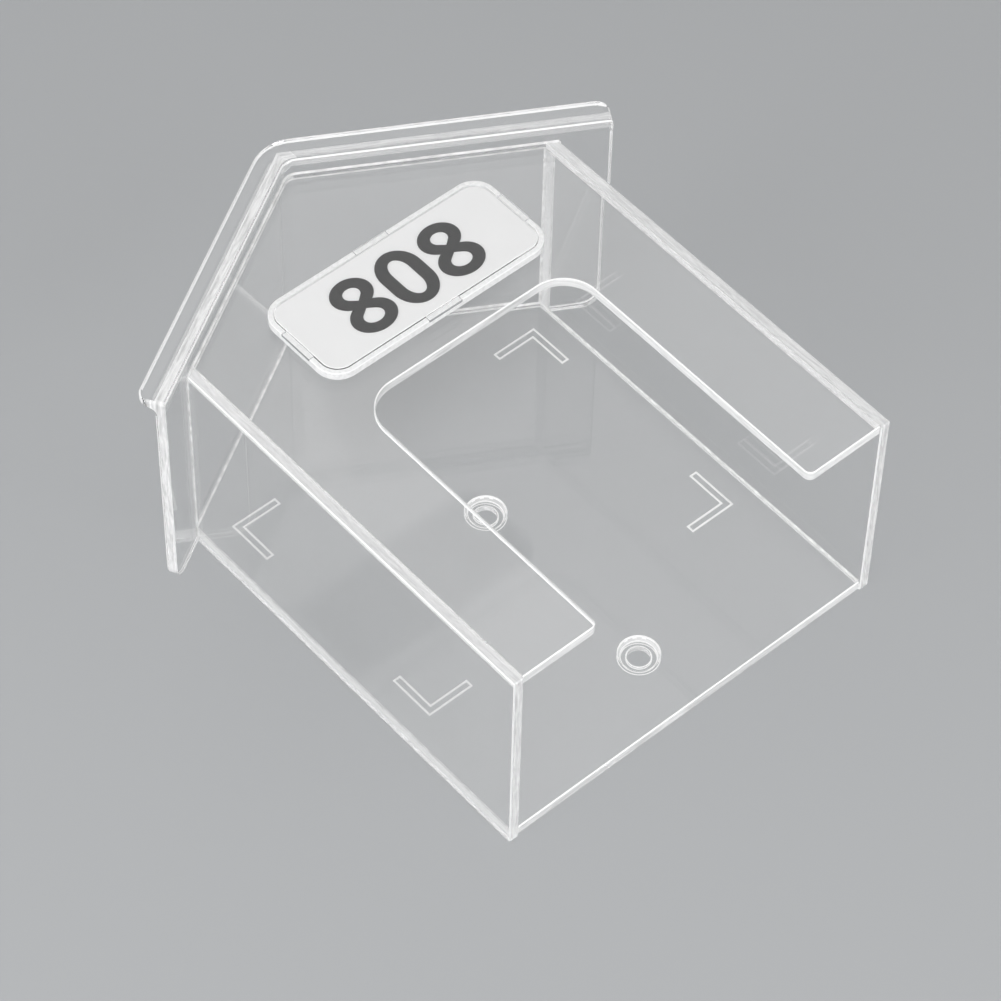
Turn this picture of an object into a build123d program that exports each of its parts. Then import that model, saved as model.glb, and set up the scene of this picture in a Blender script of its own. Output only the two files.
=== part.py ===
from build123d import *
import math
import os

# Doorbell rain cover: a small house of clear acrylic sheets, open at its lower end and cut
# away in front, that is screwed to a wall over a doorbell. A house number in a clear
# holder is stuck to its gable.
# Millimetres and degrees. The origin is on the rear face, midway between the two screw
# holes. +Z points out of the wall, +Y up the wall to the ridge, +X to the right as seen
# from the front. At Z = 0 the cover lies on its back.

# Box: side walls, front plate and back plate
cover_width = 120.0  # across the outer faces of the side walls
cover_depth = 65.0  # rear face to front face
wall_length = 120.0  # side wall, along its outer face
wall_sheet = 3.0
plate_sheet = 3.0
plate_setback = 0.5  # plates end this far inside the open ends of the walls
edge_break = 0.3  # polished chamfer on free edges
tolerance = 0.01  # for choosing edges by their place

# Roof: one sheet bent at the ridge, its front edge turned outward as a rain lip
roof_slope = 30.7
roof_sheet_thickness = 3.1
ridge_radius = 4.0  # inside of the bend
eave_overhang = 13.8  # along the slope, beyond the outer face of the wall
eave_corner_radius = 5.0
lip_overhang = 5.0  # lip's front, beyond the front plate's face
lip_thickness = 3.0
lip_rise = 4.9  # lip's edge above the outer surface of the roof
lip_root_radius = 2.2
lip_corner_radius = 3.5
lip_edge_radius = 0.9

# Cut-out in the front plate
cutout_width = 67.4
cutout_below_eaves = 32.9  # its upper edge, below the upper ends of the walls
cutout_corner_radius = 10.0
leg_corner_radius = 2.0

# Screw holes in the back plate, each with a tapered recess for the screw's head
screw_spacing = 58.0
screw_to_end = 20.0  # lower hole to the open ends of the walls
screw_hole_diameter = 6.0
screw_recess_diameter = 11.0
screw_seat_diameter = 9.4
screw_recess_depth = 1.5

# Corner marks engraved in the back plate's upper face
mark_to_wall = 7.4  # outer corners of the marks, from the inner faces of the walls
mark_to_end = 39.4  # lower marks, from the open ends of the walls
mark_to_eaves = 4.0  # upper marks, below the upper ends of the walls
mark_arm = 13.5
mark_band = 1.9
mark_line_width = 0.45
mark_line_depth = 0.25

# Number holder: pads, tray, card, digits and clip-in cover, from the front plate outward
holder_width = 71.0
holder_height = 29.5
holder_corner_radius = 6.5
holder_below_eaves = 11.3  # its centre, below the upper ends of the walls
pad_width = 9.0
pad_thickness = 0.5
pad_end_inset = 9.0  # holder's short end to pad
pad_side_inset = 4.75  # holder's long side to pad
tray_floor = 0.8
tray_wall = 1.3
tray_depth = 1.4  # floor to rim
tray_rim_radius = 0.4
card_thickness = 0.3
card_gap = 0.4  # card to tray wall
tab_length = 10.5
tab_thickness = 0.8
tab_end_gap = 0.15
cover_thickness = 1.0
cover_proud = 0.3  # cover's top above the tray's rim
cover_gap = 0.2  # cover to tray wall
cover_seat_gap = 0.05  # under the cover's tabs
cover_rim_radius = 0.5

# Digits stuck to the card
digit_thickness = 0.15
digit_spacing = 14.1
digit_height = 18.7
digit_end_stroke = 2.9  # stroke at the digits' top and base
zero_width = 12.4
zero_side_stroke = 3.55
zero_straight = 4.7  # straight part of its sides
eight_top_width = 11.7
eight_base_width = 12.7
eight_top_height = 9.8
eight_lobe_overlap = 1.3
eight_side_stroke = 3.45
eight_bridge = 2.9  # between the points of its two eyes

# Places worked out from the sizes
half_width = cover_width / 2
half_inner = half_width - wall_sheet
end_y = -screw_to_end - screw_spacing / 2
plate_end_y = end_y + plate_setback
eave_y = end_y + wall_length
slope_tan = math.tan(math.radians(roof_slope))
slope_sin = math.sin(math.radians(roof_slope))
slope_cos = math.cos(math.radians(roof_slope))
ridge_y = eave_y + half_width * slope_tan
lip_front_z = cover_depth + lip_overhang
lip_back_z = lip_front_z - lip_thickness
lip_height = roof_sheet_thickness + lip_rise
mark_x = half_inner - mark_to_wall
mark_y = eave_y - mark_to_eaves
marks_centre_y = (mark_y + end_y + mark_to_end) / 2
cutout_top_y = eave_y - cutout_below_eaves
cutout_length = cutout_top_y - end_y
holder_y = eave_y - holder_below_eaves
tray_z = cover_depth + pad_thickness
card_z = tray_z + tray_floor
digit_z = card_z + card_thickness
rim_z = card_z + tray_depth
cover_z = rim_z + cover_proud - cover_thickness
tab_z = rim_z - tab_thickness
notch_z = tab_z - cover_seat_gap


def gable_y(x):
    """Height of the roof's inner surface at a distance x from the centre line."""
    return eave_y + (half_width - abs(x)) * slope_tan


def eave_point(side, height):
    """End of the roof on one side, at a height above its inner surface."""
    x = half_width + eave_overhang * slope_cos + height * slope_sin
    y = eave_y - eave_overhang * slope_sin + height * slope_cos
    return (side * x, y)


def ridge_point(height):
    """Sharp ridge of the roof at a height above its inner surface."""
    return (0, ridge_y + height / slope_cos)


def bent_roof(height):
    """Sketch of the roof seen from the front, from its inner surface up to a height."""
    with BuildSketch() as outline:
        with BuildLine():
            inner = FilletPolyline(
                eave_point(-1, 0), ridge_point(0), eave_point(1, 0), radius=ridge_radius
            )
            outer = FilletPolyline(
                eave_point(-1, height),
                ridge_point(height),
                eave_point(1, height),
                radius=ridge_radius + height,
            )
            Line(inner @ 0, outer @ 0)
            Line(inner @ 1, outer @ 1)
        make_face()
    return outline.sketch


def gabled_plate():
    """Sketch of the plate that fits between the walls and under the roof."""
    with BuildSketch() as outline:
        with BuildLine():
            Polyline(
                (-half_inner, plate_end_y),
                (half_inner, plate_end_y),
                (half_inner, gable_y(half_inner)),
                ridge_point(0),
                (-half_inner, gable_y(half_inner)),
                close=True,
            )
        make_face()
        fillet(outline.vertices().sort_by(Axis.Y)[-1], radius=ridge_radius)
    return outline.sketch


def corner_mark(grow):
    """Sketch of the upper right corner mark, with its outline moved outward by grow."""
    near = -grow
    far = mark_arm + grow
    band = mark_band + grow
    with BuildSketch() as outline:
        with BuildLine():
            Polyline(
                (mark_x - near, mark_y - near),
                (mark_x - far, mark_y - near),
                (mark_x - far, mark_y - band),
                (mark_x - band, mark_y - band),
                (mark_x - band, mark_y - far),
                (mark_x - near, mark_y - far),
                close=True,
            )
        make_face()
    return outline.sketch


def holder_outline(inset):
    """Sketch of the number holder's rounded outline, drawn in by inset."""
    with BuildSketch() as outline:
        with Locations((0, holder_y)):
            RectangleRounded(
                holder_width - 2 * inset, holder_height - 2 * inset, holder_corner_radius - inset
            )
    return outline.sketch


def side_tabs(length, reach):
    """Sketch of four blocks, one at the middle of each side, reaching in from the outline."""
    x = (holder_width - reach) / 2
    y = (holder_height - reach) / 2
    with BuildSketch() as blocks:
        with Locations((0, holder_y - y), (0, holder_y + y)):
            Rectangle(length, reach)
        with Locations((-x, holder_y), (x, holder_y)):
            Rectangle(reach, length)
    return blocks.sketch


def oval(width, height):
    """Sketch of an oval whose sides run straight in the middle."""
    with BuildSketch() as outline:
        Rectangle(width, zero_straight)
        with Locations((0, zero_straight / 2), (0, -zero_straight / 2)):
            Ellipse(width / 2, (height - zero_straight) / 2)
    return outline.sketch


def zero_outline():
    """Sketch of the digit zero."""
    with BuildSketch() as outline:
        add(oval(zero_width, digit_height))
        eye_width = zero_width - 2 * zero_side_stroke
        eye_height = digit_height - 2 * digit_end_stroke
        add(oval(eye_width, eye_height), mode=Mode.SUBTRACT)
    return outline.sketch


def eight_lobe(width, height, centre_y, point_y):
    """Sketch of one lobe of the digit eight, whose eye is drawn out to a point."""
    eye_x = width / 2 - eight_side_stroke
    eye_y = height / 2 - digit_end_stroke
    reach = point_y - centre_y
    touch_x = eye_x * math.sqrt(1 - (eye_y / reach) ** 2)
    touch_y = centre_y + eye_y**2 / reach
    with BuildSketch() as outline:
        with Locations((0, centre_y)):
            Ellipse(width / 2, height / 2)
            Ellipse(eye_x, eye_y, mode=Mode.SUBTRACT)
        with BuildLine():
            Polyline((-touch_x, touch_y), (touch_x, touch_y), (0, point_y), close=True)
        make_face(mode=Mode.SUBTRACT)
    return outline.sketch


def eight_outline():
    """Sketch of the digit eight: two lobes that overlap at the waist."""
    base_height = digit_height - eight_top_height + eight_lobe_overlap
    top_y = (digit_height - eight_top_height) / 2
    base_y = (base_height - digit_height) / 2
    waist_y = (digit_height + eight_lobe_overlap) / 2 - eight_top_height
    with BuildSketch() as outline:
        add(eight_lobe(eight_top_width, eight_top_height, top_y, waist_y + eight_bridge / 2))
        add(eight_lobe(eight_base_width, base_height, base_y, waist_y - eight_bridge / 2))
    return outline.sketch


def cutout_corners(outline):
    """Corners along the sides of the cut-out, lowest first."""
    on_sides = outline.vertices().filter_by(lambda v: abs(abs(v.X) - cutout_width / 2) < tolerance)
    return on_sides.group_by(Axis.Y)


def save(piece, name):
    """Label a finished piece and write it to its own file."""
    piece.label = name
    export_step(piece, f"parts/{name}.step")


os.makedirs("parts", exist_ok=True)


# Back plate, with the screw holes and the corner marks
with BuildPart() as back_plate:
    with BuildSketch():
        add(gabled_plate())
    extrude(amount=plate_sheet)
    chamfer(back_plate.edges().filter_by(Axis.X).group_by(Axis.Y)[0], length=edge_break)
    with BuildSketch(Plane.XY.offset(plate_sheet)):
        add(corner_mark(mark_line_width / 2))
        add(corner_mark(-mark_line_width / 2), mode=Mode.SUBTRACT)
        mirror(about=Plane.YZ)
        mirror(about=Plane.XZ.offset(-marks_centre_y))
    extrude(amount=-mark_line_depth, mode=Mode.SUBTRACT)
    with GridLocations(0, screw_spacing, 1, 2):
        Hole(radius=screw_hole_diameter / 2)
    with Locations(Plane.XY.offset(plate_sheet - screw_recess_depth / 2)):
        with GridLocations(0, screw_spacing, 1, 2):
            Cone(
                screw_seat_diameter / 2,
                screw_recess_diameter / 2,
                screw_recess_depth,
                mode=Mode.SUBTRACT,
            )
save(back_plate.part, "back_plate")


# Front plate, cut away over the doorbell
with BuildPart() as front_plate:
    with BuildSketch(Plane.XY.offset(cover_depth - plate_sheet)) as front_outline:
        add(gabled_plate())
        with Locations((0, cutout_top_y)):
            Rectangle(
                cutout_width, cutout_length, align=(Align.CENTER, Align.MAX), mode=Mode.SUBTRACT
            )
        fillet(cutout_corners(front_outline)[0], radius=leg_corner_radius)
        fillet(cutout_corners(front_outline)[-1], radius=cutout_corner_radius)
    extrude(amount=plate_sheet)
    outline_edges = front_plate.edges().filter_by(Axis.Z, reverse=True)
    inside_walls = outline_edges.filter_by(lambda e: abs(e.center().X) < half_inner - tolerance)
    free_edges = inside_walls.filter_by(lambda e: e.center().Y < cutout_top_y + tolerance)
    chamfer(free_edges, length=edge_break)
save(front_plate.part, "front_plate")


# Side walls, cut to the roof's slope at their upper ends
for side, name in ((-1, "left_wall"), (1, "right_wall")):
    with BuildPart() as wall:
        with BuildSketch():
            with BuildLine():
                Polyline(
                    (side * half_inner, end_y),
                    (side * half_width, end_y),
                    (side * half_width, gable_y(half_width)),
                    (side * half_inner, gable_y(half_inner)),
                    close=True,
                )
            make_face()
        extrude(amount=cover_depth)
        end_edges = wall.faces().sort_by(Axis.Y)[0].edges()
        outer_face = wall.faces().sort_by(lambda face: abs(face.center().X))[-1]
        chamfer(end_edges + outer_face.edges().filter_by(Axis.Y), length=edge_break)
    save(wall.part, name)


# Roof sheet with its rain lip
with BuildPart() as roof_sheet:
    with BuildSketch():
        add(bent_roof(roof_sheet_thickness))
    extrude(amount=lip_front_z)
    rear_corners = roof_sheet.edges().group_by(Axis.Z)[0].sort_by(lambda e: abs(e.center().X))[-2:]
    fillet(rear_corners, radius=eave_corner_radius)
    with BuildSketch(Plane.XY.offset(lip_back_z)) as lip_outline:
        add(bent_roof(lip_height))
        lip_corners = lip_outline.vertices().sort_by(lambda v: abs(v.X))[-2:]
        fillet(lip_corners, radius=lip_corner_radius)
    extrude(amount=lip_thickness)
    ridge_arcs = roof_sheet.edges().filter_by(lambda e: abs(e.center().X) < tolerance)
    root_arc, rim_arc = ridge_arcs.filter_by_position(
        Axis.Z, lip_back_z - tolerance, lip_back_z + tolerance
    ).sort_by(Axis.Y)
    fillet(root_arc, radius=lip_root_radius)
    front_edges = roof_sheet.edges().group_by(Axis.Z)[-1]
    fillet(front_edges + [rim_arc], radius=lip_edge_radius)
save(roof_sheet.part, "roof_sheet")


# Adhesive pads that hold the number holder on the front plate
with BuildPart() as adhesive_pads:
    with BuildSketch(Plane.XY.offset(cover_depth)):
        with Locations((0, holder_y)):
            with GridLocations(holder_width - 2 * pad_end_inset - pad_width, 0, 2, 1):
                Rectangle(pad_width, holder_height - 2 * pad_side_inset)
    extrude(amount=pad_thickness)
save(adhesive_pads.part, "adhesive_pads")


# Number tray: a floor and a rim, notched at the middle of each side for the cover's tabs
with BuildPart() as number_tray:
    with BuildSketch(Plane.XY.offset(tray_z)):
        add(holder_outline(0))
    extrude(amount=rim_z - tray_z)
    fillet(number_tray.edges().group_by(Axis.Z)[-1], radius=tray_rim_radius)
    with BuildSketch(Plane.XY.offset(card_z)):
        add(holder_outline(tray_wall))
    extrude(amount=tray_depth, mode=Mode.SUBTRACT)
    with BuildSketch(Plane.XY.offset(notch_z)):
        add(side_tabs(tab_length + 2 * tab_end_gap, tray_wall))
    extrude(amount=rim_z - notch_z, mode=Mode.SUBTRACT)
save(number_tray.part, "number_tray")


# Number cover: a clear lid inside the rim, with four tabs that rest in the notches
with BuildPart() as number_cover:
    with BuildSketch(Plane.XY.offset(cover_z)):
        add(holder_outline(tray_wall + cover_gap))
    extrude(amount=cover_thickness)
    fillet(number_cover.edges().group_by(Axis.Z)[-1], radius=cover_rim_radius)
    with BuildSketch(Plane.XY.offset(tab_z)):
        add(side_tabs(tab_length, tray_wall + 2 * cover_gap))
    extrude(amount=tab_thickness)
save(number_cover.part, "number_cover")


# Card under the cover, and the three digits stuck to it
with BuildPart() as number_card:
    with BuildSketch(Plane.XY.offset(card_z)):
        add(holder_outline(tray_wall + card_gap))
    extrude(amount=card_thickness)
save(number_card.part, "number_card")

digits = (
    ("digit_left", -digit_spacing, eight_outline()),
    ("digit_middle", 0, zero_outline()),
    ("digit_right", digit_spacing, eight_outline()),
)
for name, x, outline in digits:
    with BuildPart() as digit:
        with BuildSketch(Plane.XY.offset(digit_z)):
            with Locations((x, holder_y)):
                add(outline)
        extrude(amount=digit_thickness)
    save(digit.part, name)
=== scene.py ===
import math

import bmesh
import bpy
import numpy as np
from mathutils import Matrix, Vector


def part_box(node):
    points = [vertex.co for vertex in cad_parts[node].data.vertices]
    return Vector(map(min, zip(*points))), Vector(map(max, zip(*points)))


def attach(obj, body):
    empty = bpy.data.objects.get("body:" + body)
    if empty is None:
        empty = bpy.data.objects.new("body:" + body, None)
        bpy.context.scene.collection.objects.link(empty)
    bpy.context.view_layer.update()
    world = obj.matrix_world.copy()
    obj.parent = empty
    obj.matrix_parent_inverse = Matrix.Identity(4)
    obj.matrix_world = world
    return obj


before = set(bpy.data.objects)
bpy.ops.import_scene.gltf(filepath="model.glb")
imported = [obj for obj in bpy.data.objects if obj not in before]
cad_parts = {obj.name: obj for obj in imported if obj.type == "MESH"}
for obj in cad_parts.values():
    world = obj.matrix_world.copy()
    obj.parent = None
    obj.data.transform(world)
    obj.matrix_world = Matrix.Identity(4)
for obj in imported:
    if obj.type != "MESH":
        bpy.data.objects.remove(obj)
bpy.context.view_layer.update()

bl_info = {
    "name": "Doorbell Rain Cover",
    "version": (1, 0, 0),
    "blender": (4, 5, 0),
    "location": "View3D > Sidebar > Rain Cover",
    "description": "Clear acrylic, the house number and the studio for a doorbell rain cover",
    "category": "Object",
}

MM = 0.001

DIGITS = ("digit_left", "digit_middle", "digit_right")
WALLS = ("left_wall", "right_wall")

# Places read from the frame, in metres
LOWER_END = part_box("front_plate")[0].y
INNER_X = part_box("front_plate")[1].x  # inner face of the right wall
OUTER_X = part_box("right_wall")[1].x
JOINT_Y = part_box("right_wall")[1].y  # the roof's inner surface, at the inner face of a wall
BACK_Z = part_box("back_plate")[1].z  # the back plate's front face
PLATE_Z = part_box("front_plate")[0].z  # the front plate's rear face
FRONT_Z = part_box("front_plate")[1].z
LIP_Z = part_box("roof_sheet")[1].z

# The roof, as the part's source gives it
SLOPE = math.radians(30.7)
RIDGE_RADIUS = 4.0 * MM
ROOF_THICKNESS = 3.1 * MM
ROOF_BEND = 10 * MM  # half the width across the ridge that the bend may take up
RIDGE_SIDE = 3 * MM  # beyond this the front end belongs to the right slope
LIP_ROOT = 4.1 * MM  # middle of the lip's rounded root, behind the lip's front face
LIP_ROOT_REACH = 1.05 * MM
LIP_ROUNDING = 7 * MM  # where the lip's outer edge is rounded, above the inner surface
LIP_EDGE = 7.9 * MM  # the lip's outer edge itself

# The back plate's marks, about their own middle, and its two screw holes
MARKS_MIDDLE = (0, 28.7 * MM, 0)
MARK_CORNER = (49.6 * MM, 38.3 * MM, 0)
MARK_ARM = 13.5 * MM
MARK_BAND = 1.9 * MM
MARK_FLOOR = 2.7 * MM
SCREW_SPACING = 58.0 * MM
DRILLED = 3.1 * MM
# Radii of the recess rims, where painted highlight rings are drawn
RECESS_RINGS = (5.38 * MM, 4.65 * MM, 3.2 * MM)
RECESS_CONE = (5.1 * MM, 0.42 * MM)  # middle radius and half the width
RECESS_FLOOR = 1.45 * MM

# Bright lines: the engraved marks, and painted highlights on the screw recesses' rims and along
# the roof's rear end
MARK_LINE = 0.3 * MM  # half the width
RING_LINE = 0.16 * MM  # half the width
REAR_LINE = 0.4 * MM  # width on each face of the roof, at its rear end

# How a face leans: the size of its normal along an axis, as a middle value and a spread. Bevels
# and rounded edges that lean so are painted white as highlights.
PLATE_BEVEL = (0.7, 0.2)
WALL_BEVEL = (0.675, 0.225)
TRAY_BEVEL = (0.675, 0.225)
ROOF_BEVEL = 0.66
ROOF_BEVEL_SPREAD = 0.2
LIP_EDGE_SPREAD = 0.06  # added on the lip's outer edge
TURNED = 0.3  # more than this, and the face isn't part of the ridge's bend
UPRIGHT = 0.1  # less than this, and the face stands along the axis
FACING = 0.9  # more than this, and it faces along the axis
CEMENTED = -0.05 * MM  # ends higher than this meet the roof

# Acrylic
CLEAR_IOR = 1.49
STREAK_RANGE = (0.35, 0.65)  # the part of the noise that makes the streaks
# BRIGHT_MILK and BRIGHT_ROUGHNESS make the engraved lines and the painted highlights white and
# rough
BRIGHT_MILK = 0.95
DRILLED_MILK_LOSS = 0.25  # how much less milky than a sawn edge
RIGHT_MILK_LOSS = 0.5
# The lip's root keeps only a soft painted gleam: this share of the painted highlight is taken away
# there
ROOT_GLEAM_LOSS = 0.7
CUT_ROUGHNESS = 0.12
BRIGHT_ROUGHNESS = 0.25
SHEET_STREAKS = 0.1  # how far the streaks change the clearness of a sheet's edges
ROOF_STREAKS = 0.25
TRAY_STREAKS = 0.08

# Sizes of the patterns
WIPE_MARK = 15 * MM
CEMENT_FLAW = 3 * MM
TAPE_BUBBLE = 1.5 * MM
CARD_FIBRE = 0.5 * MM
CARD_CLOUD = 9 * MM
FILM_PEEL = 0.7 * MM
PAINT_STIPPLE = 3 * MM

# Cement: its ridge along a flush joint, how far the seams stop short of the sheets' ends, and
# the points along its curves
RIDGE_HALF_WIDTH = 0.22 * MM
RIDGE_HEIGHT = 0.08 * MM
SHORT_OF_LOWER_END = 0.4 * MM
SHORT_OF_EAVE_END = 0.2 * MM
GABLE_POINTS = 9
BEAD_POINTS = 6
RIDGE_POINTS = 7

# The studio
FLOOR_REACH = 3.0
FLOOR_LEVEL = -0.1 * MM
SKY = (0.40, 0.26)  # grey at the level of the floor, and overhead
LAMP_TARGET = (0, 0.03, 0.02)
LAMPS = (  # name, place, side in metres, power in watts
    ("left_softbox", (-0.98, 0.25, 0.38), 0.7, 6.0),
    ("front_softbox", (0.25, -0.98, 0.38), 0.7, 6.0),
    ("high_softbox", (-0.35, -0.3, 1.2), 0.6, 4.3),
    ("far_softbox", (0.42, 0.49, 0.79), 0.6, 0.85),
)
BOUNCES = 20
TRANSPARENT_BOUNCES = 32


def linear(hex_colour):
    """The linear colour, with alpha 1, of an sRGB hex value."""
    parts = [int(hex_colour[i : i + 2], 16) / 255 for i in (1, 3, 5)]
    parts = [p / 12.92 if p <= 0.04045 else ((p + 0.055) / 1.055) ** 2.4 for p in parts]
    return (*parts, 1.0)


def add_node(tree, kind, settings=None, *inputs, **named):
    """
    Add a node with its settings. Inputs are values or sockets, in order, or by name with _ for a
    space.
    """
    node = tree.nodes.new("ShaderNode" + kind)
    for name, value in (settings or {}).items():
        setattr(node, name, value)
    sockets = {socket.identifier: socket for socket in node.inputs}
    pairs = list(zip(node.inputs, inputs))
    for name, value in named.items():
        pairs.append((sockets.get(name) or sockets[name.replace("_", " ")], value))
    for socket, value in pairs:
        if isinstance(value, bpy.types.NodeSocket):
            tree.links.new(value, socket)
        else:
            socket.default_value = value
    return node


def new_material(name):
    """An empty node material, with its output."""
    material = bpy.data.materials.new(name)
    material.use_nodes = True
    tree = material.node_tree
    tree.nodes.clear()
    return material, tree, tree.nodes.new("ShaderNodeOutputMaterial")


def wear(name, material):
    """Give a CAD node one material."""
    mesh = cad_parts[name].data
    mesh.materials.clear()
    mesh.materials.append(material)
    mesh.polygons.foreach_set("material_index", np.zeros(len(mesh.polygons), int))


def surface(tree):
    """
    Sockets of the place on the object in metres, of the true normal, of its size along X, Y and Z,
    and of the height above the roof's inner surface: |x| sin slope + y cos slope less that sum at
    the joint with a wall.
    """
    place = add_node(tree, "TexCoord").outputs["Object"]
    normal = add_node(tree, "NewGeometry").outputs["True Normal"]
    size = add_node(tree, "VectorMath", {"operation": "ABSOLUTE"}, normal).outputs[0]
    fold = add_node(tree, "VectorMath", {"operation": "ABSOLUTE"}, place).outputs[0]
    rise = (math.sin(SLOPE), math.cos(SLOPE), 0)
    reach = add_node(tree, "VectorMath", {"operation": "DOT_PRODUCT"}, fold, rise).outputs["Value"]
    joint = INNER_X * math.sin(SLOPE) + JOINT_Y * math.cos(SLOPE)
    height = add_node(tree, "Math", {"operation": "SUBTRACT"}, reach, joint).outputs[0]
    return place, normal, add_node(tree, "SeparateXYZ", None, size).outputs, height


def acrylic(
    tree, output, place, grain, cut, bright, clearness, streaking, haze, side=None, specular=0.5
):
    """
    Clear acrylic. Its faces are clear and glossy, with a faint haze. Where the mask cut is 1 the
    edge is sawn and flame-polished: it scatters light, and fine streaks run along it, drawn on
    the place grain, which is drawn out along the edge. Where the mask bright is 1 an engraved line
    shows white, and a bevel, rim or edge line is painted white as a highlight. A side colour
    changes the cut edges, as painted shade on the lid.
    """
    look = bpy.context.scene.rain_cover_sheets
    low, high = STREAK_RANGE
    streaks = add_node(
        tree, "TexNoise", None, Vector=grain, Scale=1 / look.streak_size, Detail=3.0,
        Distortion=0.5,
    ).outputs["Fac"]
    milk = add_node(
        tree, "MapRange", None, Value=streaks, From_Min=low, From_Max=high,
        To_Min=clearness - streaking, To_Max=clearness + streaking,
    ).outputs[0]
    # Clearness: nearly 1 on the faces, milk on cut edges, and almost none on engraved lines and
    # painted highlights
    less = add_node(tree, "Math", {"operation": "SUBTRACT"}, milk, 1.0).outputs[0]
    edge = add_node(
        tree, "Math", {"operation": "MULTIPLY_ADD"}, less, cut, 1.0 - haze
    ).outputs[0]
    dull = add_node(
        tree, "Math", {"operation": "MULTIPLY_ADD"}, bright, -BRIGHT_MILK, 1.0
    ).outputs[0]
    clear = add_node(tree, "Math", {"operation": "MINIMUM"}, edge, dull).outputs[0]
    # Roughness: gloss on the faces, where wipe marks only change it a little
    wiped = add_node(
        tree, "TexNoise", None, Vector=place, Scale=1 / WIPE_MARK, Detail=2.0
    ).outputs["Fac"]
    gloss = add_node(tree, "MapRange", None, Value=wiped, To_Min=0.005, To_Max=0.035).outputs[0]
    worn = add_node(
        tree, "Math", {"operation": "MULTIPLY_ADD"}, cut, CUT_ROUGHNESS, gloss
    ).outputs[0]
    rough = add_node(
        tree, "Math", {"operation": "MULTIPLY_ADD"}, bright, BRIGHT_ROUGHNESS, worn
    ).outputs[0]
    # Saw marks are about 0.1 mm apart, too fine to show, so the relief follows the streaks
    ripple = add_node(tree, "Math", {"operation": "MULTIPLY"}, streaks, cut).outputs[0]
    relief = add_node(
        tree, "Bump", None, Strength=0.3, Distance=0.08 * MM, Height=ripple
    ).outputs[0]
    colour = look.tint
    # On the lid, the side colour is painted shade: its cut edges are coloured grey
    if side:
        colour = add_node(
            tree, "Mix", {"data_type": "RGBA"}, Factor_Float=cut, A_Color=look.tint,
            B_Color=linear(side),
        ).outputs[2]
    shell = add_node(
        tree, "BsdfPrincipled", None, Base_Color=colour, Roughness=rough, IOR=CLEAR_IOR,
        Transmission_Weight=clear, Specular_IOR_Level=specular, Normal=relief,
    )
    # Lamps shine through the sheet, as they do through real acrylic, so its shadow stays pale
    passing = add_node(tree, "BsdfTransparent", None, (0.98, 0.98, 0.98, 1)).outputs[0]
    rays = add_node(tree, "LightPath").outputs
    lamp_rays = add_node(
        tree, "Math", {"operation": "MAXIMUM"}, rays["Is Shadow Ray"], rays["Is Diffuse Ray"]
    ).outputs[0]
    mix = add_node(tree, "MixShader", None, lamp_rays, shell.outputs[0], passing)
    tree.links.new(mix.outputs[0], output.inputs["Surface"])


def mark_lines(tree, place, z):
    """
    Mask of the back plate's four engraved marks. Their lines are 0.45 mm wide, which is too fine
    to show white, so they are drawn 0.6 mm wide. They follow the outline of an L, folded onto one
    corner. With u and v the distances in from its outer corner, the distance from the outline is
    the greatest of -u, -v and the least of max(u - arm, v - band) and max(v - arm, u - band).
    """
    shifted = add_node(
        tree, "VectorMath", {"operation": "SUBTRACT"}, place, MARKS_MIDDLE
    ).outputs[0]
    quarter = add_node(tree, "VectorMath", {"operation": "ABSOLUTE"}, shifted).outputs[0]
    inwards = add_node(
        tree, "VectorMath", {"operation": "SUBTRACT"}, MARK_CORNER, quarter
    ).outputs[0]
    u, v, _ = add_node(tree, "SeparateXYZ", None, inwards).outputs
    legs = []
    for first, second in ((u, v), (v, u)):
        arm = add_node(tree, "Math", {"operation": "SUBTRACT"}, first, MARK_ARM).outputs[0]
        band = add_node(tree, "Math", {"operation": "SUBTRACT"}, second, MARK_BAND).outputs[0]
        legs.append(add_node(tree, "Math", {"operation": "MAXIMUM"}, arm, band).outputs[0])
    inner = add_node(tree, "Math", {"operation": "MINIMUM"}, *legs).outputs[0]
    nearer = add_node(tree, "Math", {"operation": "MINIMUM"}, u, v).outputs[0]
    outer = add_node(tree, "Math", {"operation": "MULTIPLY"}, nearer, -1.0).outputs[0]
    off = add_node(tree, "Math", {"operation": "MAXIMUM"}, inner, outer).outputs[0]
    line = add_node(tree, "Math", {"operation": "COMPARE"}, off, 0.0, MARK_LINE).outputs[0]
    top = add_node(tree, "Math", {"operation": "GREATER_THAN"}, z, MARK_FLOOR).outputs[0]
    return add_node(tree, "Math", {"operation": "MULTIPLY"}, line, top).outputs[0]


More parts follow.
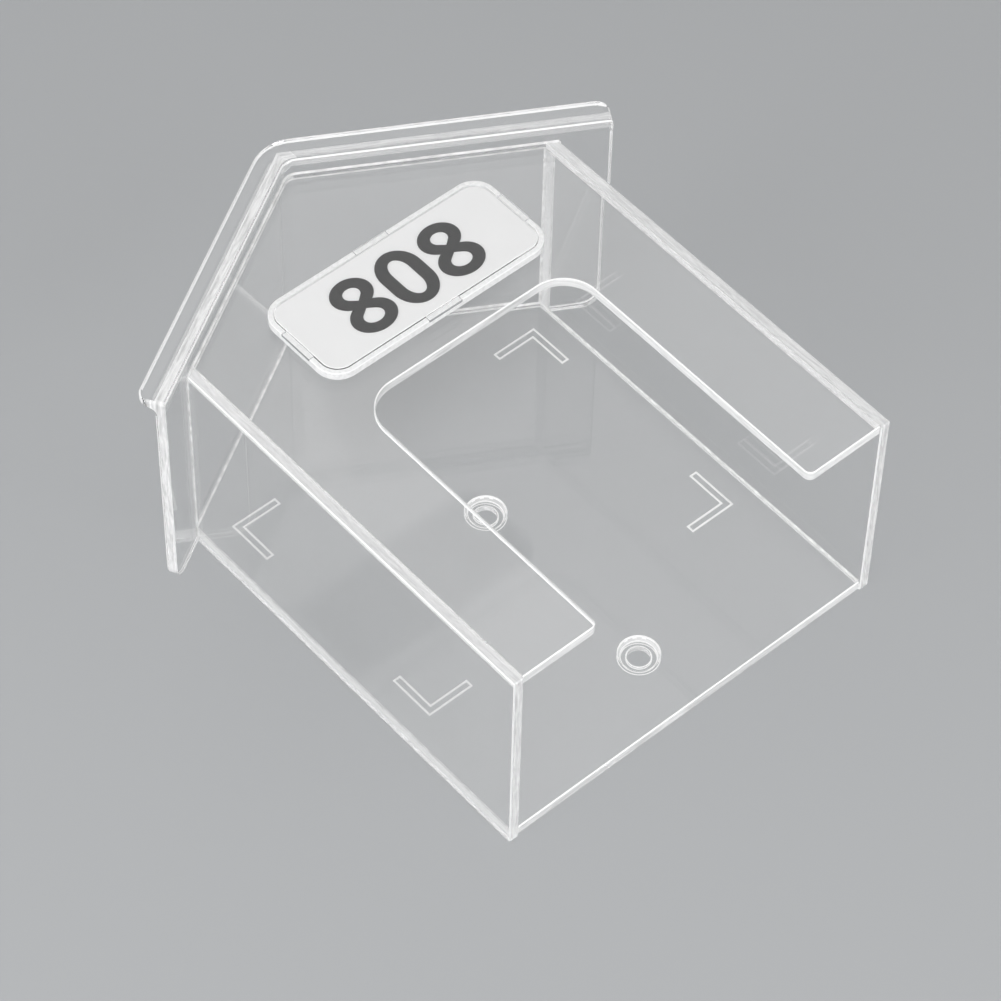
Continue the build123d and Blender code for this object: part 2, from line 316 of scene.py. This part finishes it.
def plate_acrylic(name, engraved=False, clearness=None, haze=None, side=None, specular=0.5):
    """
    Cast acrylic, sawn and flame-polished, in a sheet that lies flat: glassy faces between milky
    white edges. Its edges are the faces that stand upright; its bevels lean and are painted white
    as highlights. The edges that are cemented to the roof stay clear, as the cement fills them. On
    the engraved plate, the marks show as fine white lines, and the rims of the screw holes are
    painted with white highlight rings.
    and the rims of the screw holes show as fine white lines.
    """
    look = bpy.context.scene.rain_cover_sheets
    material, tree, output = new_material(name)
    place, _, facing, height = surface(tree)
    x, y, z = add_node(tree, "SeparateXYZ", None, place).outputs
    upright = add_node(
        tree, "Math", {"operation": "LESS_THAN"}, facing["Z"], UPRIGHT
    ).outputs[0]
    below = add_node(tree, "Math", {"operation": "LESS_THAN"}, height, CEMENTED).outputs[0]
    cut = add_node(tree, "Math", {"operation": "MULTIPLY"}, upright, below).outputs[0]
    # Painted highlight: bevels that lean are drawn white
    bright = add_node(
        tree, "Math", {"operation": "COMPARE"}, facing["Z"], *PLATE_BEVEL
    ).outputs[0]
    if engraved:
        marks = mark_lines(tree, place, z)
        bright = add_node(tree, "Math", {"operation": "MAXIMUM"}, bright, marks).outputs[0]
        # Painted highlights on the rims of the screw recesses: white rings about the two holes,
        # which fold onto one
        fold = add_node(tree, "Math", {"operation": "ABSOLUTE"}, y).outputs[0]
        away = add_node(
            tree, "Math", {"operation": "SUBTRACT"}, fold, SCREW_SPACING / 2
        ).outputs[0]
        spoke = add_node(tree, "CombineXYZ", None, x, away, 0.0).outputs[0]
        radius = add_node(tree, "VectorMath", {"operation": "LENGTH"}, spoke).outputs["Value"]
        for ring in RECESS_RINGS:
            rim = add_node(
                tree, "Math", {"operation": "COMPARE"}, radius, ring, RING_LINE
            ).outputs[0]
            bright = add_node(tree, "Math", {"operation": "MAXIMUM"}, bright, rim).outputs[0]
        # The recess is turned and left milky, and the drilled hole is cleaner than a sawn edge
        cone = add_node(
            tree, "Math", {"operation": "COMPARE"}, radius, *RECESS_CONE
        ).outputs[0]
        sunk = add_node(
            tree, "Math", {"operation": "GREATER_THAN"}, z, RECESS_FLOOR
        ).outputs[0]
        recess = add_node(tree, "Math", {"operation": "MULTIPLY"}, cone, sunk).outputs[0]
        turned = add_node(tree, "Math", {"operation": "MAXIMUM"}, cut, recess).outputs[0]
        drilled = add_node(
            tree, "Math", {"operation": "LESS_THAN"}, radius, DRILLED
        ).outputs[0]
        kept = add_node(
            tree, "Math", {"operation": "MULTIPLY_ADD"}, drilled, -DRILLED_MILK_LOSS, 1.0
        ).outputs[0]
        cut = add_node(tree, "Math", {"operation": "MULTIPLY"}, turned, kept).outputs[0]
    along = (look.streak_stretch, look.streak_stretch, 1)
    grain = add_node(tree, "VectorMath", {"operation": "MULTIPLY"}, place, along).outputs[0]
    clearness = look.edge_clearness if clearness is None else clearness
    haze = look.haze if haze is None else haze
    acrylic(
        tree, output, place, grain, cut, bright, clearness, SHEET_STREAKS, haze, side, specular
    )
    return material


def wall_acrylic(name):
    """
    Cast acrylic in a sheet that stands along the cover: glassy sides, and ends less milky than
    the plates'. Its edges are the faces that don't face sideways. The end that is cemented to the
    roof stays clear.
    """
    look = bpy.context.scene.rain_cover_sheets
    material, tree, output = new_material(name)
    place, _, facing, height = surface(tree)
    ends = add_node(tree, "Math", {"operation": "LESS_THAN"}, facing["X"], UPRIGHT).outputs[0]
    below = add_node(tree, "Math", {"operation": "LESS_THAN"}, height, CEMENTED).outputs[0]
    cut = add_node(tree, "Math", {"operation": "MULTIPLY"}, ends, below).outputs[0]
    # Painted highlight: bevels that lean are drawn white
    bright = add_node(
        tree, "Math", {"operation": "COMPARE"}, facing["X"], *WALL_BEVEL
    ).outputs[0]
    along = (1, look.streak_stretch, look.streak_stretch)
    grain = add_node(tree, "VectorMath", {"operation": "MULTIPLY"}, place, along).outputs[0]
    acrylic(
        tree, output, place, grain, cut, bright, look.wall_clearness, SHEET_STREAKS, look.haze
    )
    return material


def roof_acrylic(name):
    """
    Acrylic sheet, heated and bent: glassy slopes with painted highlights along their edges. The
    sheet's own front end is sawn and marbled, and the lip's front face above it is clear. Its
    streaks run along the slopes and along the eaves.
    """
    look = bpy.context.scene.rain_cover_sheets
    material, tree, output = new_material(name)
    place, normal, facing, height = surface(tree)
    x, _, z = add_node(tree, "SeparateXYZ", None, place).outputs
    half = add_node(tree, "Math", {"operation": "SIGN"}, x).outputs[0]
    fold = add_node(tree, "CombineXYZ", None, half, 1.0, 1.0).outputs[0]
    up = (math.sin(SLOPE), math.cos(SLOPE), 0)
    upwards = add_node(tree, "VectorMath", {"operation": "MULTIPLY"}, fold, up).outputs[0]
    tilt = add_node(
        tree, "VectorMath", {"operation": "DOT_PRODUCT"}, normal, upwards
    ).outputs["Value"]
    flat = add_node(tree, "Math", {"operation": "ABSOLUTE"}, tilt).outputs[0]

    ends = add_node(tree, "Math", {"operation": "LESS_THAN"}, flat, UPRIGHT).outputs[0]
    lip = add_node(
        tree, "Math", {"operation": "GREATER_THAN"}, height, ROOF_THICKNESS
    ).outputs[0]
    forward = add_node(
        tree, "Math", {"operation": "GREATER_THAN"}, facing["Z"], FACING
    ).outputs[0]
    lip_face = add_node(tree, "Math", {"operation": "MULTIPLY"}, lip, forward).outputs[0]
    sawn = add_node(
        tree, "Math", {"operation": "SUBTRACT", "use_clamp": True}, ends, lip_face
    ).outputs[0]
    # The lip's own edge faces as the roof does, 8 mm above the inner surface
    lip_edge = add_node(
        tree, "Math", {"operation": "GREATER_THAN"}, height, LIP_EDGE
    ).outputs[0]
    milky = add_node(tree, "Math", {"operation": "MAXIMUM"}, sawn, lip_edge).outputs[0]
    # The right slope's front end is less milky than the left one's
    right = add_node(tree, "Math", {"operation": "GREATER_THAN"}, x, RIDGE_SIDE).outputs[0]
    right_front_end = add_node(tree, "Math", {"operation": "MULTIPLY"}, right, forward).outputs[0]
    kept = add_node(
        tree, "Math", {"operation": "MULTIPLY_ADD"}, right_front_end, -RIGHT_MILK_LOSS, 1.0
    ).outputs[0]
    cut = add_node(tree, "Math", {"operation": "MULTIPLY"}, milky, kept).outputs[0]

    # Painted highlights: bevels and rounded edges, where the normal leans from the sheet's plane,
    # are drawn white, widest on the lip's outer edge. The bend at the ridge leans too, so it is
    # left out, and the lip's root only has a soft painted gleam.
    outer = add_node(
        tree, "Math", {"operation": "GREATER_THAN"}, height, LIP_ROUNDING
    ).outputs[0]
    width = add_node(
        tree, "Math", {"operation": "MULTIPLY_ADD"}, outer, LIP_EDGE_SPREAD, ROOF_BEVEL_SPREAD
    ).outputs[0]
    lean = add_node(tree, "Math", {"operation": "COMPARE"}, flat, ROOF_BEVEL, width).outputs[0]
    span = add_node(tree, "Math", {"operation": "ABSOLUTE"}, x).outputs[0]
    slope = add_node(
        tree, "Math", {"operation": "GREATER_THAN"}, span, ROOF_BEND
    ).outputs[0]
    turned = add_node(
        tree, "Math", {"operation": "GREATER_THAN"}, facing["Z"], TURNED
    ).outputs[0]
    edges = add_node(tree, "Math", {"operation": "MAXIMUM"}, slope, turned).outputs[0]
    root = add_node(
        tree, "Math", {"operation": "COMPARE"}, z, LIP_Z - LIP_ROOT, LIP_ROOT_REACH
    ).outputs[0]
    share = add_node(
        tree, "Math", {"operation": "MULTIPLY_ADD"}, root, -ROOT_GLEAM_LOSS, 1.0
    ).outputs[0]
    highlight = add_node(tree, "Math", {"operation": "MULTIPLY"}, lean, edges).outputs[0]
    gleam = add_node(tree, "Math", {"operation": "MULTIPLY"}, highlight, share).outputs[0]
    # Painted highlights: both edges of the rear end are drawn as white lines, seen through the
    # sheet
    middle = add_node(
        tree, "Math", {"operation": "SUBTRACT"}, height, ROOF_THICKNESS / 2
    ).outputs[0]
    reach = add_node(tree, "Math", {"operation": "ABSOLUTE"}, middle).outputs[0]
    rim = add_node(
        tree, "Math", {"operation": "GREATER_THAN"}, reach, ROOF_THICKNESS / 2 - REAR_LINE
    ).outputs[0]
    low = add_node(tree, "Math", {"operation": "LESS_THAN"}, z, REAR_LINE).outputs[0]
    rear = add_node(tree, "Math", {"operation": "MULTIPLY"}, rim, low).outputs[0]
    bright = add_node(tree, "Math", {"operation": "MAXIMUM"}, gleam, rear).outputs[0]

    thin = look.streak_stretch
    down = (thin * math.cos(SLOPE), -thin * math.sin(SLOPE), thin)
    downwards = add_node(tree, "VectorMath", {"operation": "MULTIPLY"}, fold, down).outputs[0]
    along = add_node(
        tree, "VectorMath", {"operation": "DOT_PRODUCT"}, place, downwards
    ).outputs["Value"]
    grain = add_node(tree, "CombineXYZ", None, along, height, half).outputs[0]
    acrylic(
        tree, output, place, grain, cut, bright, look.roof_clearness, ROOF_STREAKS, look.haze
    )
    return material


class RainCoverSheets(bpy.types.PropertyGroup):
    """Looks of the acrylic sheets"""

    tint: bpy.props.FloatVectorProperty(
        name="Tint", description="Colour of the acrylic", subtype="COLOR", size=4,
        min=0, max=1, default=linear("#fdfdfd"),
    )
    haze: bpy.props.FloatProperty(
        name="Haze", description="Share of light that each clear face scatters",
        subtype="FACTOR", min=0, max=1, default=0.022,
    )
    edge_clearness: bpy.props.FloatProperty(
        name="Edge Clearness", description="Share of light that passes the plates' cut edges",
        subtype="FACTOR", min=0, max=1, default=0.33,
    )
    wall_clearness: bpy.props.FloatProperty(
        name="Wall Clearness", description="Share of light that passes the walls' cut edges",
        subtype="FACTOR", min=0, max=1, default=0.62,
    )
    roof_clearness: bpy.props.FloatProperty(
        name="Roof Clearness", description="Share of light that passes the roof's cut edges",
        subtype="FACTOR", min=0, max=1, default=0.35,
    )
    streak_size: bpy.props.FloatProperty(
        name="Streak Size", description="Width of the milky streaks in the cut edges",
        unit="LENGTH", min=0.1 * MM, default=0.9 * MM,
    )
    streak_stretch: bpy.props.FloatProperty(
        name="Streak Stretch", description="Width of the streaks as a share of their length",
        subtype="FACTOR", min=0.01, max=1, default=0.12,
    )


class RainCoverSeams(bpy.types.PropertyGroup):
    """Sizes of the cement in the glued corners"""

    bead: bpy.props.FloatProperty(
        name="Bead", description="Leg of the cement bead in a corner", unit="LENGTH",
        min=0.1 * MM, default=0.45 * MM,
    )
    gap: bpy.props.FloatProperty(
        name="Gap", description="Clearance between a bead and the sheets", unit="LENGTH",
        default=0.015 * MM,
    )
    clearness: bpy.props.FloatProperty(
        name="Clearness", description="Share of light that passes the cement",
        subtype="FACTOR", min=0, max=1, default=0.25,
    )


class RainCoverNumber(bpy.types.PropertyGroup):
    """Looks of the house number"""

    card: bpy.props.FloatVectorProperty(
        name="Card", description="Colour of the card", subtype="COLOR", size=4,
        min=0, max=1, default=linear("#fcfcfc"),
    )
    ink: bpy.props.FloatVectorProperty(
        name="Digits", description="Colour of the digits", subtype="COLOR", size=4,
        min=0, max=1, default=linear("#151516"),
    )
    holder_clearness: bpy.props.FloatProperty(
        name="Holder Clearness", description="Share of light that passes the tray's moulding",
        subtype="FACTOR", min=0, max=1, default=0.12,
    )
    lid_clearness: bpy.props.FloatProperty(
        name="Lid Clearness", description="Share of light that passes the lid's edges",
        subtype="FACTOR", min=0, max=1, default=0.4,
    )


class RainCoverStage(bpy.types.PropertyGroup):
    """Floor and camera"""

    floor: bpy.props.FloatVectorProperty(
        name="Floor", description="Colour of the floor", subtype="COLOR", size=4,
        min=0, max=1, default=linear("#b6b8ba"),
    )
    lens: bpy.props.FloatProperty(
        name="Lens", description="Focal length of the camera in millimetres",
        min=10, max=300, default=151.95,
    )
    camera_place: bpy.props.FloatVectorProperty(
        name="Camera", description="Where the camera stands", subtype="TRANSLATION",
        unit="LENGTH", default=(-0.4401, -0.4627, 0.8501),
    )
    camera_target: bpy.props.FloatVectorProperty(
        name="Target", description="What the camera points at", subtype="TRANSLATION",
        unit="LENGTH", default=(0.00695, 0.0312, 0.0),
    )
    camera_roll: bpy.props.FloatProperty(
        name="Roll", description="Turn of the camera about its view", subtype="ANGLE",
        default=math.radians(1.419),
    )


class RAINCOVER_OT_sheets(bpy.types.Operator):
    """Give the sheets their clear acrylic with bright cut edges"""

    bl_idname = "rain_cover.sheets"
    bl_label = "Acrylic Sheets"

    def execute(self, context):
        wear("back_plate", plate_acrylic("cast_acrylic_engraved", engraved=True))
        wear("front_plate", plate_acrylic("cast_acrylic_cut_out"))
        walls = wall_acrylic("cast_acrylic_wall")
        for wall in WALLS:
            wear(wall, walls)
        wear("roof_sheet", roof_acrylic("heat_bent_acrylic"))
        return {"FINISHED"}


def carry(path, side_a, side_b, profile):
    """
    Carry a closed profile along a path. Each vertex is a path point, plus the profile's first
    value times the direction side_a there, plus its second value times side_b. Returns the
    vertices, the quads between neighbouring profiles and the two faces that close the ends.
    """
    path = np.asarray(path, float)
    side_a = np.broadcast_to(np.asarray(side_a, float), path.shape)
    side_b = np.broadcast_to(np.asarray(side_b, float), path.shape)
    first, second = profile.T
    points = path[:, None] + side_a[:, None] * first[:, None] + side_b[:, None] * second[:, None]
    rows, columns = points.shape[:2]
    row, column = np.meshgrid(np.arange(rows - 1), np.arange(columns), indexing="ij")
    here, there = row * columns, (row + 1) * columns
    after = (column + 1) % columns
    quads = np.stack([here + column, here + after, there + after, there + column], axis=-1)
    start = np.arange(columns)
    ends = np.stack([start[::-1], start + (rows - 1) * columns])
    return points.reshape(-1, 3), quads.reshape(-1, 4), ends


def gable_line(z, reach):
    """
    The roof's inner surface at one z, out to reach: y = joint + (inner x - |x|) tan slope, with
    the ridge rounded to an arc. Returns its points and their directions down from the roof.
    """
    half = RIDGE_RADIUS * math.sin(SLOPE)
    x = np.concatenate([[-reach], np.linspace(-half, half, GABLE_POINTS), [reach]])
    straight = JOINT_Y + (INNER_X - np.abs(x)) * math.tan(SLOPE)
    centre = JOINT_Y + INNER_X * math.tan(SLOPE) - RIDGE_RADIUS / math.cos(SLOPE)
    inside = np.abs(x) < reach
    arc = centre + np.sqrt(np.clip(RIDGE_RADIUS**2 - x**2, 0, None))
    lean = np.where(inside, x / RIDGE_RADIUS, np.sign(x) * math.sin(SLOPE))
    points = np.stack([x, np.where(inside, arc, straight), np.full_like(x, z)], axis=-1)
    down = np.stack([-lean, -np.sqrt(1 - lean**2), np.zeros_like(x)], axis=-1)
    return points, down


def seam_profiles(leg, gap):
    """
    The cement's two profiles. A bead in a corner bows towards it, from one leg to the other by
    1 - sin and 1 - cos of a quarter turn. The ridge on a flush joint is half an ellipse.
    """
    turn = np.linspace(0, math.pi / 2, BEAD_POINTS)
    bow = np.stack([1 - np.sin(turn), 1 - np.cos(turn)], axis=-1) * leg
    bead = np.concatenate([bow, [[0, 0]]]) + gap
    swell = np.linspace(0, math.pi, RIDGE_POINTS)
    across, out = np.cos(swell) * RIDGE_HALF_WIDTH, np.sin(swell) * RIDGE_HEIGHT + gap / 2
    return bead, np.stack([across, out], axis=-1)


def seam_shells(leg, gap):
    """The lines of cement: three along the roof's inner surface, and five along each wall."""
    bead, ridge = seam_profiles(leg, gap)
    forward, backward, down_y = (0, 0, 1), (0, 0, -1), (0, -1, 0)
    shells = []
    for z, way, reach in (
        (FRONT_Z, forward, OUTER_X),
        (PLATE_Z, backward, INNER_X - gap),
        (BACK_Z, forward, INNER_X - gap),
    ):
        line, down = gable_line(z, reach)
        shells.append(carry(line, down, way, bead))
    lower, upper = LOWER_END + SHORT_OF_LOWER_END, JOINT_Y - leg
    eave = JOINT_Y - (OUTER_X - INNER_X) * math.tan(SLOPE)
    for side in (-1, 1):
        wall, outside = side * INNER_X, side * OUTER_X
        # Between the wall and the two plates, inside the box
        for z, way in ((PLATE_Z, backward), (BACK_Z, forward)):
            shells.append(carry([(wall, lower, z), (wall, upper, z)], (-side, 0, 0), way, bead))
        # Between the wall and the front plate, on the front face
        line = [(wall, lower, FRONT_Z), (wall, upper, FRONT_Z)]
        shells.append(carry(line, (1, 0, 0), forward, ridge))
        # Under the roof, inside and outside the wall
        along_roof = np.array([side * math.cos(SLOPE), -math.sin(SLOPE), 0])
        line = [(wall, JOINT_Y, BACK_Z + leg), (wall, JOINT_Y, PLATE_Z - leg)]
        shells.append(carry(line, down_y, -along_roof, bead))
        line = [(outside, eave, SHORT_OF_EAVE_END), (outside, eave, FRONT_Z - SHORT_OF_EAVE_END)]
        shells.append(carry(line, down_y, along_roof, bead))
    return shells


class RAINCOVER_OT_seams(bpy.types.Operator):
    """Lay thin beads of solvent cement in the glued corners of the box"""

    bl_idname = "rain_cover.seams"
    bl_label = "Cement Seams"

    def execute(self, context):
        look = context.scene.rain_cover_seams
        vertices, faces = [], []
        for points, quads, ends in seam_shells(look.bead, look.gap):
            start = len(vertices)
            vertices += points.tolist()
            faces += (quads + start).tolist() + (ends + start).tolist()
        mesh = bpy.data.meshes.new("cement_seams")
        mesh.from_pydata(vertices, [], faces)
        work = bmesh.new()
        work.from_mesh(mesh)
        bmesh.ops.recalc_face_normals(work, faces=work.faces)
        work.to_mesh(mesh)
        work.free()
        seams = bpy.data.objects.new("cement_seams", mesh)
        context.scene.collection.objects.link(seams)

        # Solvent cement: it dries milky where it wells out of a joint, so the corners show
        # white, with bubbles and thin places
        material, tree, output = new_material("dried_solvent_cement")
        place = add_node(tree, "TexCoord").outputs["Object"]
        flaws = add_node(
            tree, "TexNoise", None, Vector=place, Scale=1 / CEMENT_FLAW, Detail=2.0
        ).outputs["Fac"]
        clear = add_node(
            tree, "MapRange", None, Value=flaws, From_Min=0.3, From_Max=0.7,
            To_Min=look.clearness - 0.2, To_Max=look.clearness + 0.2,
        ).outputs[0]
        rough = add_node(tree, "MapRange", None, Value=flaws, To_Min=0.1, To_Max=0.35).outputs[0]
        shell = add_node(
            tree, "BsdfPrincipled", None, Base_Color=linear("#fdfdfd"), Roughness=rough,
            IOR=1.45, Transmission_Weight=clear,
        )
        tree.links.new(shell.outputs[0], output.inputs["Surface"])
        mesh.materials.append(material)
        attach(seams, "housing")
        return {"FINISHED"}


class RAINCOVER_OT_holder(bpy.types.Operator):
    """Give the number holder its clear moulding and its tape"""

    bl_idname = "rain_cover.holder"
    bl_label = "Number Holder"

    def execute(self, context):
        look = context.scene.rain_cover_number
        # Moulded acrylic: the tray's walls are thin and tapered, so it all reads as white
        tray, tree, output = new_material("moulded_acrylic_tray")
        place, _, facing, _ = surface(tree)
        # Painted highlight: bevels that lean are drawn white
        bright = add_node(
            tree, "Math", {"operation": "COMPARE"}, facing["Z"], *TRAY_BEVEL
        ).outputs[0]
        acrylic(
            tree, output, place, place, 1.0, bright, look.holder_clearness, TRAY_STREAKS, 0.0
        )
        wear("number_tray", tray)
        # Painted shade: the lid's upright sides, which turn light away, are coloured grey, so they
        # show as thin grey lines
        lid = plate_acrylic(
            "moulded_acrylic_lid", clearness=look.lid_clearness, haze=0.0, side="#b4b6b8",
            specular=0.2,
        )
        wear("number_cover", lid)

        # Clear acrylic tape: a soft milky layer, with small bubbles where it hasn't wetted
        # the sheet
        tape, tree, output = new_material("clear_mounting_tape")
        place = add_node(tree, "TexCoord").outputs["Object"]
        bubbles = add_node(
            tree, "TexVoronoi", None, Vector=place, Scale=1 / TAPE_BUBBLE
        ).outputs["Distance"]
        clear = add_node(
            tree, "MapRange", None, Value=bubbles, From_Min=0.1, From_Max=0.3,
            To_Min=0.3, To_Max=0.75,
        ).outputs[0]
        shell = add_node(
            tree, "BsdfPrincipled", None, Base_Color=linear("#f4f5f4"), Roughness=0.4,
            IOR=1.47, Transmission_Weight=clear,
        )
        tree.links.new(shell.outputs[0], output.inputs["Surface"])
        wear("adhesive_pads", tape)
        return {"FINISHED"}


class RAINCOVER_OT_number(bpy.types.Operator):
    """Give the card and the digits their colours"""

    bl_idname = "rain_cover.number"
    bl_label = "House Number"

    def execute(self, context):
        look = context.scene.rain_cover_number
        # Coated card: matt white, with a faint clouding. Its fibres are about 0.05 mm wide, too
        # fine to show, so they are drawn 0.5 mm wide.
        card, tree, output = new_material("coated_white_card")
        place = add_node(tree, "TexCoord").outputs["Object"]
        fibres = add_node(
            tree, "TexNoise", None, Vector=place, Scale=1 / CARD_FIBRE, Detail=3.0
        ).outputs["Fac"]
        clouds = add_node(
            tree, "TexNoise", None, Vector=place, Scale=1 / CARD_CLOUD, Detail=2.0
        ).outputs["Fac"]
        shade = add_node(tree, "MapRange", None, Value=clouds, To_Min=0.97, To_Max=1.0).outputs[0]
        colour = add_node(
            tree, "Mix", {"data_type": "RGBA", "blend_type": "MULTIPLY"}, Factor_Float=1.0,
            A_Color=look.card, B_Color=shade,
        ).outputs[2]
        relief = add_node(
            tree, "Bump", None, Strength=0.15, Distance=0.02 * MM, Height=fibres
        ).outputs[0]
        shell = add_node(
            tree, "BsdfPrincipled", None, Base_Color=colour, Roughness=0.55, Normal=relief
        )
        tree.links.new(shell.outputs[0], output.inputs["Surface"])
        wear("number_card", card)

        # Cut vinyl film: near black and satin, with a slight orange peel
        film, tree, output = new_material("cut_vinyl_film")
        place = add_node(tree, "TexCoord").outputs["Object"]
        peel = add_node(
            tree, "TexNoise", None, Vector=place, Scale=1 / FILM_PEEL, Detail=1.0
        ).outputs["Fac"]
        relief = add_node(
            tree, "Bump", None, Strength=0.2, Distance=0.02 * MM, Height=peel
        ).outputs[0]
        rough = add_node(tree, "MapRange", None, Value=peel, To_Min=0.42, To_Max=0.55).outputs[0]
        shell = add_node(
            tree, "BsdfPrincipled", None, Base_Color=look.ink, Roughness=rough,
            Specular_IOR_Level=0.2, Normal=relief,
        )
        tree.links.new(shell.outputs[0], output.inputs["Surface"])
        for digit in DIGITS:
            wear(digit, film)
        return {"FINISHED"}


def lay_floor(scene, colour):
    """A plain square floor just under the object."""
    mesh = bpy.data.meshes.new("floor")
    corners = np.array([(-1, -1), (1, -1), (1, 1), (-1, 1)]) * FLOOR_REACH
    mesh.from_pydata(np.insert(corners, 2, FLOOR_LEVEL, axis=1).tolist(), [], [(0, 1, 2, 3)])
    floor = bpy.data.objects.new("floor", mesh)
    scene.collection.objects.link(floor)
    # Painted board: matt, with the low relief that a paint roller leaves
    material, tree, output = new_material("rolled_matt_paint")
    place = add_node(tree, "TexCoord").outputs["Object"]
    stipple = add_node(
        tree, "TexNoise", None, Vector=place, Scale=1 / PAINT_STIPPLE, Detail=2.0
    ).outputs["Fac"]
    relief = add_node(
        tree, "Bump", None, Strength=0.03, Distance=0.1 * MM, Height=stipple
    ).outputs[0]
    shell = add_node(
        tree, "BsdfPrincipled", None, Base_Color=colour, Roughness=0.65, Normal=relief
    )
    tree.links.new(shell.outputs[0], output.inputs["Surface"])
    mesh.materials.append(material)


def light_studio(scene):
    """A soft grey sky and four even square lamps, turned to the object."""
    world = bpy.data.worlds.new("studio")
    scene.world = world
    world.use_nodes = True
    sky = world.node_tree
    direction = add_node(sky, "TexCoord").outputs["Generated"]
    rise = add_node(sky, "SeparateXYZ", None, direction).outputs["Z"]
    low, high = SKY
    shade = add_node(sky, "MapRange", None, Value=rise, To_Min=low, To_Max=high).outputs[0]
    sky.links.new(shade, sky.nodes["Background"].inputs["Color"])
    for name, place, side, power in LAMPS:
        lamp = bpy.data.lights.new(name, "AREA")
        lamp.size, lamp.energy = side, power
        ob = bpy.data.objects.new(name, lamp)
        scene.collection.objects.link(ob)
        ob.location = place
        beam = Vector(LAMP_TARGET) - Vector(place)
        ob.rotation_euler = beam.to_track_quat("-Z", "Y").to_euler()
        ob.visible_camera = False


def aim_camera(scene, look):
    """The camera, turned to its target and then rolled about its view."""
    camera = bpy.data.cameras.new("camera")
    camera.sensor_width = 36
    camera.lens = look.lens
    camera.clip_start, camera.clip_end = 0.05, 20
    eye = bpy.data.objects.new("camera", camera)
    scene.collection.objects.link(eye)
    place, target = Vector(look.camera_place), Vector(look.camera_target)
    view = (target - place).normalized()
    right = view.cross(Vector((0, 0, 1))).normalized()
    up = right.cross(view)
    cos, sin = math.cos(look.camera_roll), math.sin(look.camera_roll)
    turn = Matrix((right * cos + up * sin, up * cos - right * sin, -view)).transposed()
    eye.matrix_world = Matrix.Translation(place) @ turn.to_4x4()
    scene.camera = eye


class RAINCOVER_OT_stage(bpy.types.Operator):
    """Set up the floor, the lamps and the camera"""

    bl_idname = "rain_cover.stage"
    bl_label = "Studio"

    def execute(self, context):
        scene = context.scene
        lay_floor(scene, scene.rain_cover_stage.floor)
        light_studio(scene)
        aim_camera(scene, scene.rain_cover_stage)
        # Light crosses many faces in a box of clear sheets
        scene.cycles.max_bounces = BOUNCES
        scene.cycles.glossy_bounces = BOUNCES
        scene.cycles.transmission_bounces = BOUNCES
        scene.cycles.transparent_max_bounces = TRANSPARENT_BOUNCES
        scene.view_settings.view_transform = "Standard"
        return {"FINISHED"}


class RAINCOVER_PT_panel(bpy.types.Panel):
    """The rain cover's pieces and their looks"""

    bl_idname = "RAINCOVER_PT_panel"
    bl_label = "Rain Cover"
    bl_space_type = "VIEW_3D"
    bl_region_type = "UI"
    bl_category = "Rain Cover"

    def draw(self, context):
        column = self.layout.column(align=True)
        for name in GROUPS:
            group = getattr(context.scene, name)
            for setting in group.__annotations__:
                column.prop(group, setting)
        for operator in OPERATORS:
            column.operator(operator.bl_idname)


GROUPS = {
    "rain_cover_sheets": RainCoverSheets,
    "rain_cover_seams": RainCoverSeams,
    "rain_cover_number": RainCoverNumber,
    "rain_cover_stage": RainCoverStage,
}
OPERATORS = (
    RAINCOVER_OT_stage,
    RAINCOVER_OT_sheets,
    RAINCOVER_OT_seams,
    RAINCOVER_OT_holder,
    RAINCOVER_OT_number,
)


def register():
    for cls in (*GROUPS.values(), *OPERATORS, RAINCOVER_PT_panel):
        bpy.utils.register_class(cls)
    for name, group in GROUPS.items():
        setattr(bpy.types.Scene, name, bpy.props.PointerProperty(type=group))


def unregister():
    for name in GROUPS:
        delattr(bpy.types.Scene, name)
    for cls in (RAINCOVER_PT_panel, *OPERATORS, *GROUPS.values()):
        bpy.utils.unregister_class(cls)


def main():
    register()
    bpy.ops.rain_cover.stage()
    bpy.ops.rain_cover.sheets()
    bpy.ops.rain_cover.seams()
    bpy.ops.rain_cover.holder()
    bpy.ops.rain_cover.number()


if __name__ == "__main__":
    main()
